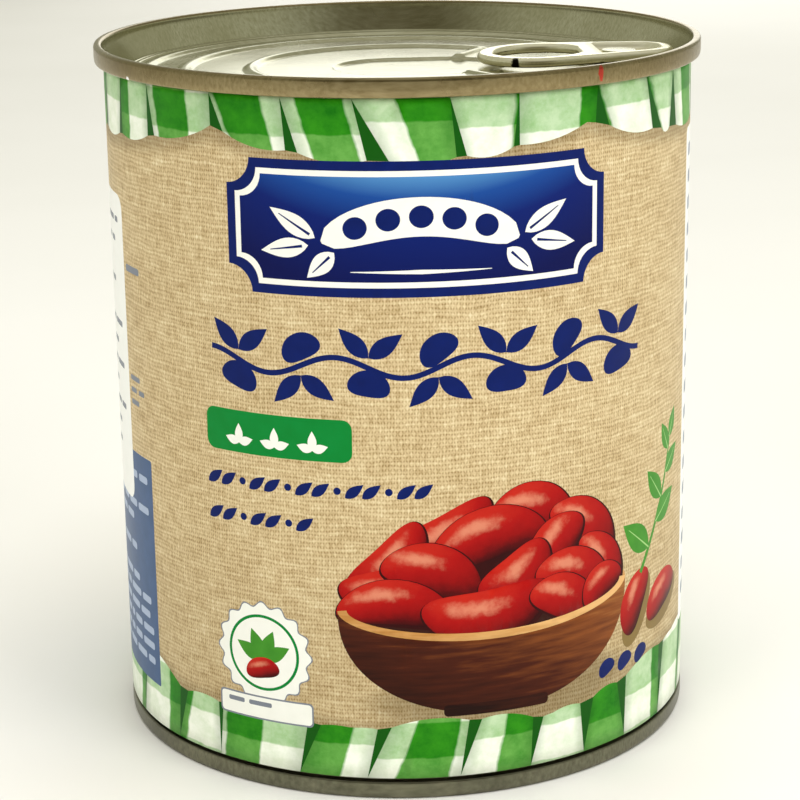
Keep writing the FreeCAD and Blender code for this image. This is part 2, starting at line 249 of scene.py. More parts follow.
foot_end = make_piece("foot_end", *turned(base_outline), end_steel, "bottom_end", "end_tinplate")
finish_seam(foot_end, foot_inside, foot_steel)


# ---------------------------------------------------------------- top end
# The easy-open end is pressed from one sheet: a double seam, the chuck wall that the seaming tool
# fits, a countersink, a land with the score line, and a beaded floor. A hook-shaped bead folds
# back beside the ring, whose free end lies over a finger well. The rivet is drawn up out of the
# sheet through the ring pull and flattened.

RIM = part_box("top_end")[1].z / MM
FLOOR = RIM - 5.4
LAND = RIM - 4.9
SINK = RIM - 6.4
SEAM_LOW = RIM - 3.1
TOP_SEAM_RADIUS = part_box("top_end")[1].x / MM
BEAD_RISE = 0.55
TAB_TURN = math.radians(4.0)
HOOK_RADIUS = 24.9
HOOK_TIP = Vector((16.6, 18.6))
HOOK_HEEL = Vector((10.9, 9.1))
HOOK_HALF_WIDTH = 1.25
WELL_RADIUS, WELL_BACK, WELL_FRONT, WELL_DEPTH = 10.2, -0.6, 8.0, 0.45
FLOOR_STEP = 0.3
HOOK_ZONE = 28.0
RIVET_ACROSS = 38.0


def ease(value):
    """0 to 1 with soft ends."""
    value = min(max(value, 0.0), 1.0)
    return value * value * (3 - 2 * value)


def hook_distance(x, y):
    """Distance from the hook bead's middle line: a long arc with a straight leg at each end."""
    y = abs(y)
    leg = HOOK_HEEL - HOOK_TIP
    along = max(0.0, min(1.0, (Vector((x, y)) - HOOK_TIP).dot(leg) / leg.length_squared))
    to_leg = (HOOK_TIP + leg * along - Vector((x, y))).length
    if math.atan2(y, x) >= math.atan2(HOOK_TIP.y, HOOK_TIP.x):
        return min(abs(math.hypot(x, y) - HOOK_RADIUS), to_leg)
    return to_leg


def well_distance(x, y):
    """Signed distance to the finger well's outline, a slot with round ends, negative inside."""
    across = min(max(x, WELL_BACK), WELL_FRONT)
    return math.hypot(x - across, y) - WELL_RADIUS


def floor_relief(x, y, index):
    """Height of the hook bead and the finger well over the plain floor, on the upper face only."""
    if index < first_floor_point or math.hypot(x, y) > HOOK_ZONE:
        return 0.0
    across = x * math.cos(TAB_TURN) + y * math.sin(TAB_TURN)
    aside = y * math.cos(TAB_TURN) - x * math.sin(TAB_TURN)
    lift = BEAD_RISE * ease(1.35 * (1 - hook_distance(across, aside) / HOOK_HALF_WIDTH))
    return lift - WELL_DEPTH * ease(0.5 - well_distance(across, aside) / 0.7)


inside = TOP_SEAM_RADIUS - SEAM_WALL
top_outline = rounded_path([
    (0, FLOOR - SHEET, 0), (43.9, FLOOR - SHEET, 0.2), (45.1, SINK - SHEET, 0.2),
    (48.4, SINK - SHEET, 0.2), (49.5, SEAM_LOW, 0.1), (TOP_SEAM_RADIUS - 0.1, SEAM_LOW, 0.45),
    (TOP_SEAM_RADIUS, RIM - 2.3, 0.4), (TOP_SEAM_RADIUS, RIM, 0.75), (inside, RIM, 0.5),
    (inside - 0.05, RIM - 1.2, 0.5), (48.4, SINK, 0.7), (46.8, SINK, 0.7),
    (46.8, LAND, 0.25), (46.15, LAND, 0.05), (45.95, LAND - 0.15, 0.05), (45.75, LAND, 0.05),
    (45.1, LAND, 0.2), (44.85, FLOOR - 0.05, 0.2),
    *reversed(bead(43.35, 2.7, FLOOR, BEAD_RISE)), *reversed(bead(36.2, 2.6, FLOOR, BEAD_RISE)),
    (HOOK_ZONE, FLOOR, 0),
])
first_floor_point = len(top_outline)
rings = round(HOOK_ZONE / FLOOR_STEP)
top_outline += [Vector((HOOK_ZONE * (1 - i / rings), FLOOR)) for i in range(1, rings + 1)]
verts, faces = turned(top_outline, floor_relief)

rivet_outline = rounded_path([
    (4.6, FLOOR - 0.05, 0), (3.6, FLOOR + 0.5, 0.4), (1.9, FLOOR + 0.55, 0.2),
    (1.9, FLOOR + 1.45, 0.1), (3.0, FLOOR + 1.45, 0.2), (3.0, FLOOR + 1.98, 0.35), (0, FLOOR + 2.0, 0),
])
rivet_verts, rivet_faces = turned(rivet_outline, steps=72)
rivet_at = Matrix.Rotation(TAB_TURN, 3, "Z") @ Vector((RIVET_ACROSS, 0, 0))
faces += [tuple(len(verts) + corner for corner in face) for face in rivet_faces]
verts += [(x + rivet_at.x, y + rivet_at.y, z) for x, y, z in rivet_verts]
top_end = make_piece("easy_open_end", verts, faces, end_steel, "top_end", "end_tinplate")
seam_steel = tinplate("lacquered_seam_tinplate", "#A2936E", "#80714E", 0.26, 0.25, 0.01)
finish_seam(top_end, inside, seam_steel)
# A red smear on the seam, and a white spot at the left: a painted highlight where a nick in the seam
# catches the light.
for turn, down, half_size, colour in ((37.6, 1.2, (0.5, 0.6, 1.5), "#C0463A"),
                                      (-57, 2.9, (0.5, 0.5, 0.5), "#FFFFFF")):
    x, y = math.sin(math.radians(turn)), -math.cos(math.radians(turn))
    add_mark_and_highlight(seam_steel, (TOP_SEAM_RADIUS * x, TOP_SEAM_RADIUS * y, RIM - down), half_size, colour)


# ---------------------------------------------------------------- ring pull
# The ring pull is pressed from thicker tinplate and all its edges are curled under, so that it
# has no sharp rim. The nose holds a sunken plate that the rivet clamps, and tips up a little.

TAB_THICKNESS = 1.65
TAB_LENGTH = 33.6
RING_RADIUS, NOSE_RADIUS = 10.4, 6.8
TAB_START, TAB_LIFT, TAB_TILT = 13.7, 0.3, math.radians(1.1)
HOLE_RADIUS, HOLE_REACH = 7.6, 17.4
PLATE_START, PLATE_BORDER, PLATE_THICKNESS = 20.8, 2.2, 0.6
NOSE_ACROSS = TAB_LENGTH - NOSE_RADIUS


def capsule(first, first_radius, last, last_radius, start=None, steps=64):
    """Round-ended outline about two centres on the X axis; a start cuts the left end square."""
    lean = math.acos((first_radius - last_radius) / (last - first))
    points = [Vector((last + last_radius * math.cos(a), last_radius * math.sin(a)))
              for a in np.linspace(-lean, lean, steps)]
    if start is None:
        points += [Vector((first + first_radius * math.cos(a), first_radius * math.sin(a)))
                   for a in np.linspace(lean, math.tau - lean, 2 * steps)]
    else:
        slope = (points[-1] - Vector((last, 0))).normalized()
        half = points[-1].y + (points[-1].x - start) * slope.x / slope.y
        points += [Vector((start, half)), Vector((start, -half))]
    return points


def resample(points, spacing):
    """The closed outline again, with points evenly spaced along it."""
    closed = points + [points[0]]
    lengths = np.cumsum([0.0] + [(b - a).length for a, b in zip(closed, closed[1:])])
    count = max(int(lengths[-1] / spacing), 8)
    marks = np.linspace(0, lengths[-1], count, endpoint=False)
    xs = np.interp(marks, lengths, [p[0] for p in closed])
    ys = np.interp(marks, lengths, [p[1] for p in closed])
    return [Vector((x, y)) for x, y in zip(xs, ys)]


def inset(points, distance):
    """A counter-clockwise outline moved inwards by a distance, or outwards by a negative one."""
    moved = []
    for before, here, after in zip(points[-1:] + points[:-1], points, points[1:] + points[:1]):
        along = (after - before).normalized()
        moved.append(here + Vector((-along.y, along.x)) * distance)
    return moved


def outline_distance(outline, spots):
    """Distance of each spot from a closed outline, for arrays of points."""
    a = np.array([tuple(p) for p in outline])
    b = np.roll(a, -1, axis=0)
    span = b - a
    best = np.full(len(spots), 1e9)
    for start, step in zip(a, span):
        t = np.clip(((spots - start) @ step) / max(step @ step, 1e-12), 0, 1)
        best = np.minimum(best, np.hypot(*(spots - start - t[:, None] * step).T))
    return best


def inside_outline(outline, spots):
    """True for each spot that lies inside a closed outline."""
    a = np.array([tuple(p) for p in outline])
    b = np.roll(a, -1, axis=0)
    x, y = spots[:, 0], spots[:, 1]
    hits = np.zeros(len(spots), int)
    for (ax, ay), (bx, by) in zip(a, b):
        crosses = (ay > y) != (by > y)
        with np.errstate(divide="ignore", invalid="ignore"):
            hits += crosses & (x < (bx - ax) * (y - ay) / (by - ay) + ax)
    return hits % 2 == 1


tab_edge = resample(capsule(RING_RADIUS, RING_RADIUS, NOSE_ACROSS, NOSE_RADIUS), 0.35)
chord_angle = math.acos((HOLE_REACH - RING_RADIUS) / HOLE_RADIUS)
hole_edge = [Vector((RING_RADIUS + HOLE_RADIUS * math.cos(a), HOLE_RADIUS * math.sin(a)))
             for a in np.linspace(chord_angle, math.tau - chord_angle, 90)]
hole_edge = resample(hole_edge, 0.3)
plate_edge = resample(capsule(RING_RADIUS, RING_RADIUS - PLATE_BORDER, NOSE_ACROSS,
                              NOSE_RADIUS - PLATE_BORDER, start=PLATE_START), 0.3)
edges_and_insets = (
    (tab_edge, (0, 0.04, 0.14, 0.3, 0.55, 0.82, 1.2)),
    (hole_edge, (0, -0.04, -0.14, -0.3, -0.55, -0.82, -1.2)),
    (plate_edge, (-0.35, -0.15, 0, 0.15, 0.35, 0.6)),
)
spots, loops = [], []
for edge, distances in edges_and_insets:
    for distance in distances:
        loops.append(list(range(len(spots), len(spots) + len(edge))))
        spots += inset(edge, distance)
flat, _, triangles, *_ = geometry.delaunay_2d_cdt(spots, [], loops, 0, 1e-6)
flat = np.array([tuple(p) for p in flat])
centres = np.array([flat[list(t)].mean(axis=0) for t in triangles])
keep = inside_outline(tab_edge, centres) & ~inside_outline(hole_edge, centres)
triangles = [t for t, kept in zip(triangles, keep) if kept]

half = TAB_THICKNESS / 2
from_edge = np.minimum(outline_distance(tab_edge, flat), outline_distance(hole_edge, flat))
curl = half * np.sqrt(1 - (1 - np.clip(from_edge / half, 0, 1)) ** 2)
from_plate = outline_distance(plate_edge, flat) * np.where(inside_outline(plate_edge, flat), 1, -1)
sink = np.array([ease(0.5 + d / 0.8) for d in from_plate]) * (TAB_THICKNESS - PLATE_THICKNESS)
on_edge = from_edge < 1e-4
pose = Matrix.Translation((0, 0, FLOOR + TAB_LIFT)) @ Matrix.Rotation(TAB_TURN, 4, "Z") @ (
    Matrix.Translation((TAB_START, 0, 0)) @ Matrix.Rotation(-TAB_TILT, 4, "Y"))
verts = [tuple(pose @ Vector((x, y, half + up - down)))
         for (x, y), up, down in zip(flat, curl, sink)]
under = {}
for index, ((x, y), down) in enumerate(zip(flat, curl)):
    under[index] = index if on_edge[index] else len(verts)
    if not on_edge[index]:
        verts.append(tuple(pose @ Vector((x, y, half - down))))
faces = list(triangles) + [tuple(under[corner] for corner in reversed(t)) for t in triangles]
used = sorted({corner for face in faces for corner in face})
renumber = {old: new for new, old in enumerate(used)}
verts = [verts[old] for old in used]
faces = [tuple(renumber[corner] for corner in face) for face in faces]
pull_steel = tinplate("pull_tinplate", "#FCF8E2", "#EAE4C6", 0.28, 0.3, 0.004)
make_piece("ring_pull", verts, faces, pull_steel, "pull_tab", "tab_steel")
scuff = pose @ Vector((5.4, -9.1, 0.6))
add_mark_and_highlight(pull_steel, scuff, (0.75, 1.5, 1.6), "#15120E")


# ---------------------------------------------------------------- label
# A wrap of coated paper, printed in offset inks and varnished. It is glued round the wall under
# the top seam, one end lapped over the other at the back. The print is a jute sacking ground
# between two gathered gingham ribbons, with a plaque, ornament, panels and a bowl of beans.

WRAP_RADIUS = 49.65
PAPER = 0.12
WRAP_FOOT, WRAP_TOP = 3.65, 114.7
LAP, LAP_LIFT = 3.9, 0.15
WRAP_END = math.pi * WRAP_RADIUS + LAP
GRID = 2.5
CHECK_WIDTH, CHECK_HEIGHT = 9.2, 6.2
prints = []


def print_shape(colour, outline, place=None, tone=None):
    """Lays a shape of ink over those before it. Places are mm along the wrap and mm above the foot.

    place and tone turn such a place into the two pairs of numbers that the ink's surface reads.
    """
    prints.append((colour, [Vector(p[:2]) for p in outline], place or (lambda x, z: (x, z)),
                   tone or (lambda x, z: (1.0, 0.0))))


def oval(x, z, half_width, half_height, turn=0.0, steps=40):
    """An ellipse about a place, turned by an angle."""
    c, s = math.cos(turn), math.sin(turn)
    ring = [(half_width * math.cos(a), half_height * math.sin(a))
            for a in np.linspace(0, math.tau, steps, endpoint=False)]
    return [(x + p * c - q * s, z + p * s + q * c) for p, q in ring]


def rounded_box(left, foot, right, top, corner, steps=5):
    """A box with its corners rounded outwards, or scooped inwards where corner is negative."""
    size = abs(corner)
    points = []
    for index, (x, z) in enumerate(((right, top), (left, top), (left, foot), (right, foot))):
        inwards = Vector((-1 if x == right else 1, -1 if z == top else 1))
        if corner > 0:
            centre = Vector((x, z)) + inwards * size
            angles = np.linspace(index * math.pi / 2, (index + 1) * math.pi / 2, steps + 1)
        else:
            centre = Vector((x, z))
            angles = np.linspace((index + 3.0) * math.pi / 2, (index + 2.0) * math.pi / 2, 2 * steps)
        points += [(centre.x + size * math.cos(a), centre.y + size * math.sin(a)) for a in angles]
    return points


def leaf(x, z, length, width, turn):
    """A pointed leaf, from its stalk at a place, drawn along a direction."""
    c, s = math.cos(turn), math.sin(turn)
    along = np.linspace(0, 1, 12)
    side = width / 2 * np.sin(math.pi * along ** 0.8)
    ring = list(zip(along * length, -side)) + list(zip(along[-2:0:-1] * length, side[-2:0:-1]))
    return [(x + p * c - q * s, z + p * s + q * c) for p, q in ring]


def stroke(points, widths):
    """The outline of a line drawn through points, as wide as stated at each."""
    sides = [[], []]
    for index, here in enumerate(points):
        before, after = points[max(index - 1, 0)], points[min(index + 1, len(points) - 1)]
        along = (Vector(after) - Vector(before)).normalized()
        across = Vector((-along.y, along.x)) * widths[index] / 2
        sides[0].append(Vector(here) - across)
        sides[1].append(Vector(here) + across)
    return sides[0] + sides[1][::-1]


LIGHT_FROM = Vector((-0.45, 0.8))


def print_bean(colour, x, z, length, width, turn, bend=0.09):
    """A kidney bean: its outline bows about a curved middle line, and its tone is that of a round."""
    c, s = math.cos(turn), math.sin(turn)
    bow = bend * length
    ring = []
    for a in np.linspace(0, math.tau, 44, endpoint=False):
        p, q = math.cos(a), math.sin(a)
        p = math.copysign(abs(p) ** 0.85, p)
        ring.append((length / 2 * p, width / 2 * q + bow * (0.5 - p * p)))
    outline = [(x + p * c - q * s, z + p * s + q * c) for p, q in ring]

    def place(u, v):
        p = ((u - x) * c + (v - z) * s) / (length / 2)
        q = ((v - z) * c - (u - x) * s - bow * (0.5 - p * p)) / (width / 2)
        return p, q

    light = (LIGHT_FROM.x * c + LIGHT_FROM.y * s, LIGHT_FROM.y * c - LIGHT_FROM.x * s)
    print_shape(colour, outline, place, lambda u, v: light)


def print_ribbon(rim, hem, down, first_row, seed):
    """A gathered gingham ribbon from a straight rim to a wavy hem, folded into fanned pleats.

    Each pleat carries its own stretch of cloth, and between two pleats lies a dark tuck. The tone
    is how far across its pleat a place lies, or -0.5 in a tuck.
    """
    pick = random.Random(seed)
    folds = []
    x = -WRAP_END
    while x < WRAP_END - 6:
        folds.append((x, x + pick.uniform(-2.2, 2.2), pick.uniform(0.8, 3.4)))
        x += pick.uniform(9.5, 16.0)
    folds = [(-WRAP_END, -WRAP_END, 0.0)] + folds[1:] + [(WRAP_END, WRAP_END, 0.0)]
    cloth = 0.0
    for (top, foot, tuck), (next_top, next_foot, _) in zip(folds, folds[1:]):
        height = abs(rim - hem(foot))
        drop = first_row + pick.uniform(-1.0, 2.4)
        if tuck:
            def tucked(u, v, start=cloth + 4.7):
                return start + 0.6 * u, abs(rim - v)

            points = [(top, rim), (foot, hem(foot)), (foot + tuck, hem(foot + tuck))]
            print_shape("gingham", points, tucked, lambda u, v: (-0.5, 0.0))
        left, right = foot + tuck, next_foot
        edge = [(left + (right - left) * t, hem(left + (right - left) * t)
                 - down * 3.0 * t * (1 - t)) for t in np.linspace(0, 1, 9)]

        def across(u, v, a=top, b=left, c=next_top, d=right, height=height):
            k = abs(rim - v) / height
            start, finish = a + (b - a) * k, c + (d - c) * k
            return min(max((u - start) / max(finish - start, 0.1), 0.0), 1.0)

        def on_cloth(u, v, start=cloth, width=right - left, drop=drop, across=across):
            return start + width * across(u, v), abs(rim - v) + drop

        print_shape("gingham", [(top, rim), *edge, (next_top, rim)], on_cloth,
                    lambda u, v, across=across: (across(u, v), 0.0))
        cloth += right - left + pick.uniform(3.0, 8.0)


def print_bars(colour, left, right, top, foot, thick, pitch, seed):
    """Rows of short plain bars, set left, standing for a block of small print."""
    pick = random.Random(seed)
    z = top
    while z - thick > foot:
        x = left
        end = right - pick.choice((0.0, 0.0, 0.1, 0.35)) * (right - left)
        while x < end - 2.0:
            width = min(pick.uniform(2.0, 6.5), end - x)
            print_shape(colour, rounded_box(x, z - thick, x + width, z, 0.3 * thick, 2))
            x += width + 0.9
        z -= pitch


def top_hem(x):
    """Height of the upper ribbon's hem: broad scallops that hang between high points."""
    return 109.6 - 4.4 * abs(math.sin(math.pi * (x - 31) / 62)) ** 0.8


def foot_hem(x):
    """Height of the lower ribbon's hem: shallow scallops, which rise away from the front."""
    return 11.6 + 1.8 * abs(math.sin(math.pi * (x + 9) / 34)) + 4.5 * ease((abs(x) - 34) / 26)


print_ribbon(WRAP_TOP, top_hem, 1, 0.0, seed=11)
print_ribbon(WRAP_FOOT, foot_hem, -1, CHECK_HEIGHT, seed=4)

# plaque with scooped corners, a white line and a pod between leaves
PLAQUE = Vector((3.3, 94.6))
PLAQUE_HALF = Vector((31.5, 10.6))
for colour, border in (("navy", 0.0), ("white", 1.5), ("plaque_blue", 2.4)):
    half_size = PLAQUE_HALF - Vector((border, border))
    low, high = PLAQUE - half_size, PLAQUE + half_size
    print_shape(colour, rounded_box(low.x, low.y, high.x, high.y, -(4.2 - 0.2 * border)),
                lambda x, z: ((x - PLAQUE.x) / PLAQUE_HALF.x, (z - PLAQUE.y) / PLAQUE_HALF.y))
arch = np.linspace(-1, 1, 25)
pod = [(PLAQUE.x + 15.5 * t, PLAQUE.y + 2.0 - 4.0 * t * t) for t in arch]
print_shape("white", stroke(pod, [0.5 + 5.6 * (1 - t ** 4) ** 0.5 for t in arch]))
for t in (-0.66, -0.33, 0.0, 0.33, 0.66):
    print_shape("navy", oval(PLAQUE.x + 15.5 * t, PLAQUE.y + 2.0 - 4.0 * t * t, 1.9, 1.75, -0.5 * t))
for side in (-1, 1):
    for reach, lift, size, angle in ((16.5, -1.4, 8.6, 0.55), (17.6, -2.6, 8.0, -0.15),
                                     (13.5, -3.6, 6.0, -0.75)):
        turn = angle if side > 0 else math.pi - angle
        print_shape("white", leaf(PLAQUE.x + side * reach, PLAQUE.y + lift, size, 3.1, turn))
        vein = [(PLAQUE.x + side * reach + t * math.cos(turn), PLAQUE.y + lift + t * math.sin(turn))
                for t in (1.0, 0.8 * size)]
        print_shape("navy", stroke(vein, [0.45, 0.15]))
print_shape("white", stroke([(PLAQUE.x + t, PLAQUE.y - 6.6) for t in (-11, 0, 11)], [0.1, 0.7, 0.1]))

# navy garland: a waving stem with leaves on one side and beans on the other
GARLAND = Vector((5.7, 72.8))
wave = np.linspace(-38, 38, 90)
print_shape("navy", stroke([(GARLAND.x + x, GARLAND.y + 1.6 * math.sin(x * math.pi / 10.9))
                            for x in wave], [0.9] * len(wave)))
for index in range(7):
    x = -32.7 + 10.9 * index
    rise = 1 if index % 2 else -1
    crest = GARLAND.y - rise * 1.6
    print_bean("navy", GARLAND.x + x, crest + rise * 4.4, 6.8, 4.3, 0.35 * rise + 0.1 * index)
    for lean in (0.62, 2.35):
        print_shape("navy", leaf(GARLAND.x + x, crest, 6.6, 2.9, -rise * lean))

# green tag with three white sprigs
print_shape("tag_green", rounded_box(-34.0, 57.3, -8.0, 64.3, 1.6))
for x in (-27.5, -21.0, -14.5):
    for angle in (0.3, math.pi / 2, math.pi - 0.3):
        print_shape("white", leaf(x, 59.0, 3.2 if angle == math.pi / 2 else 2.7, 1.5, angle))

# two rows of navy beads under the tag
for row, count in ((52.6, 14), (46.6, 7)):
    for index in range(count):
        x = -32.6 + 2.75 * index
        if index % 3 == 2:
            print_shape("navy", oval(x, row, 0.62, 0.62, steps=16))
        else:
            print_shape("navy", leaf(x - 1.5, row - 1.1, 3.8, 1.7, 0.65))

# small panels of plain bars: a white one over a blue one to the left, a white one to the right
print_shape("panel_blue", rounded_box(-112.0, 10.6, -50.1, 51.0, 0.4))
print_bars("pale_ink", -110.5, -52.0, 47.6, 12.0, 1.3, 2.7, seed=2)
print_shape("panel_white", rounded_box(-106.0, 41.8, -58.5, 94.5, 2.6))
print_bars("grey_ink", -103.0, -61.5, 90.5, 46.0, 1.0, 3.6, seed=3)
print_bars("grey_ink", -57.4, -51.0, 83.5, 80.0, 1.2, 3.0, seed=7)
print_bars("grey_ink", -57.4, -51.0, 64.6, 58.0, 0.9, 2.1, seed=9)
print_shape("panel_white", rounded_box(64.7, 16.0, 124.0, 103.5, 1.2))
print_bars("slate_ink", 67.0, 121.0, 100.5, 20.0, 2.2, 4.6, seed=6)

# white scalloped seal with a sprig, over a small white band
SEAL = Vector((-24.3, 23.6))
scallop = [(SEAL.x + (8.3 + 0.45 * math.cos(16 * a)) * math.cos(a),
            SEAL.y + (8.3 + 0.45 * math.cos(16 * a)) * math.sin(a))
           for a in np.linspace(0, math.tau, 128, endpoint=False)]
print_shape("grey_ink", [(x + (x - SEAL.x) * 0.03, z + (z - SEAL.y) * 0.03) for x, z in scallop])
print_shape("white", scallop)
print_shape("tag_green", oval(SEAL.x, SEAL.y, 6.6, 6.6, steps=64))
print_shape("white", oval(SEAL.x, SEAL.y, 6.1, 6.1, steps=64))
for turn in (0.5, 1.2, 1.95, 2.65):
    print_shape("leaf_green", leaf(SEAL.x, SEAL.y - 1.2, 5.6, 2.6, turn))
print_bean("red_bean", SEAL.x - 0.2, SEAL.y - 2.9, 6.4, 3.6, 0.2)
print_shape("grey_ink", rounded_box(-33.2, 11.7, -15.4, 15.9, 0.8))
print_shape("white", rounded_box(-32.9, 12.0, -15.7, 15.6, 0.6))
print_bars("grey_ink", -31.4, -17.2, 14.9, 12.6, 0.8, 1.5, seed=12)

# three small navy beans low down to the right
for index in range(3):
    print_bean("navy", 36.5 + 4.6 * index, 17.2, 4.0, 2.7, 0.5)

# turned wooden bowl heaped with beans, with a sprig and loose beans beside it
BOWL = Vector((15.0, 32.4))
BOWL_HALF, BOWL_LIP, BOWL_DEPTH = 26.0, 5.4, 18.0


def bowl_place(x, z):
    """Place in the bowl, in its half widths across and its depths up, from the lip's middle."""
    return (x - BOWL.x) / BOWL_HALF, (z - BOWL.y) / BOWL_DEPTH


print_shape("turned_wood", oval(BOWL.x, BOWL.y, BOWL_HALF, BOWL_LIP, steps=80), bowl_place,
            lambda x, z: (0.7, 0.0))
print_shape("bowl_hollow", oval(BOWL.x, BOWL.y + 0.2, BOWL_HALF - 1.5, BOWL_LIP - 1.1, steps=80))
heap = [(BOWL.x + 23 * math.cos(a), BOWL.y + 14.5 * math.sin(a)) for a in np.linspace(0, math.pi, 30)]
print_shape("bean_shadow", heap)
BEANS = (
    (6.0, 45.4, 18.5, 7.8, 26), (21.5, 47.4, 15.5, 8.4, -10), (31.6, 42.8, 16.5, 7.6, -42),
    (-2.6, 41.0, 16.0, 7.4, 44), (13.4, 43.6, 20.5, 8.8, 14), (25.6, 40.6, 13.5, 8.2, 58),
    (-4.4, 36.6, 12.5, 7.0, 14), (35.0, 35.6, 14.5, 7.4, -64), (4.6, 38.6, 17.0, 8.2, -20),
    (18.4, 37.4, 14.0, 8.6, 34), (29.6, 35.0, 16.0, 8.0, -24), (-1.6, 33.0, 19.0, 7.6, -4),
    (13.6, 32.0, 22.0, 9.2, 6), (27.4, 31.2, 14.0, 7.6, -32), (35.2, 32.4, 9.5, 6.2, 30),
)
for index, (x, z, length, width, degrees) in enumerate(BEANS):
    bend = 0.13 if index % 3 else -0.11
    print_bean("bean_shadow", x + 0.1, z - 0.25, length + 0.7, width + 0.6, math.radians(degrees), bend)
    print_bean("red_bean", x, z, length, width, math.radians(degrees), bend)
front = [(BOWL.x + (BOWL_HALF - 1.5) * math.cos(a), BOWL.y + 0.2 + (BOWL_LIP - 1.1) * math.sin(a))
         for a in np.linspace(math.pi, math.tau, 40)]
belly = [(BOWL.x + BOWL_HALF * math.cos(a), BOWL.y - BOWL_DEPTH * abs(math.sin(a)) ** 0.85)
         for a in np.linspace(0, math.pi, 48)]
print_shape("turned_wood", front + [tuple(BOWL + Vector((BOWL_HALF, 0)))] + belly[1:], bowl_place,
            lambda x, z: (0.35, 0.0))
lip = [(BOWL.x + BOWL_HALF * math.cos(a), BOWL.y + BOWL_LIP * math.sin(a))
       for a in np.linspace(math.tau, math.pi, 40)]
print_shape("turned_wood", front + lip, bowl_place, lambda x, z: (1.0, 0.0))
print_shape("turned_wood", rounded_box(BOWL.x - 9, 14.2, BOWL.x + 9, 16.2, 0.7), bowl_place,
            lambda x, z: (0.2, 0.0))
for x, z, length, width, degrees in ((44.0, 27.0, 12.0, 6.4, 62), (53.5, 25.5, 12.5, 6.6, 20)):
    print_shape("sacking_shadow", oval(x + 0.6, z - 1.6, 0.56 * length, 0.5 * width,
                                       math.radians(degrees)), lambda x, z: (x, z))
    print_bean("red_bean", x, z, length, width, math.radians(degrees))
stem = [(45.5 + 2.2 * math.sin(2.4 * t) + 9 * t, 31.5 + 21 * t) for t in np.linspace(0, 1, 12)]
print_shape("leaf_green", stroke(stem, [0.9 - 0.04 * i for i in range(12)]))
for index, lean in ((2, 2.5), (4, 0.5), (6, 2.3), (8, 0.6), (10, 2.1), (11, 1.1)):
    x, z = stem[index]
    size = 10.5 - 0.45 * index
    print_shape("leaf_green", leaf(x, z, size, 0.5 * size, lean))
    tip = (x + 0.8 * size * math.cos(lean), z + 0.8 * size * math.sin(lean))
    print_shape("pale_green", stroke([(x, z), tip], [0.3, 0.1]))


def varnished_paper(name, roughness=0.36):
    """Coated paper under a thin gloss varnish: softly shiny, with fibres that barely show."""
    material, tree, shader = start_material(name)
    wrap = node(tree, "UVMap", uv_map="wrap")
    fibre = node(tree, "TexNoise", {"Vector": wrap, "Scale": 1 / 0.35, "Detail": 2.0})
    bump = node(tree, "Bump", {"Height": fibre, "Strength": 0.25, "Distance": 0.01 * MM})
    tree.links.new(bump.outputs[0], shader.inputs["Normal"])
    shader.inputs["Roughness"].default_value = roughness
    shader.inputs["Specular IOR Level"].default_value = 0.12
    return material, tree, shader, wrap


def ink(name, light, dark, roughness=0.36):
    """One offset ink on the varnished paper: a solid colour with a faint mottle."""
    material, tree, shader, wrap = varnished_paper(name, roughness)
    mottle = node(tree, "TexNoise", {"Vector": wrap, "Scale": 1 / 2.5, "Detail": 5.0})
    tone = node(tree, "Mix", {"Factor": mottle, "A": linear(dark), "B": linear(light)},
                data_type="RGBA")
    tree.links.new(tone.outputs["Result"], shader.inputs["Base Color"])
    return material


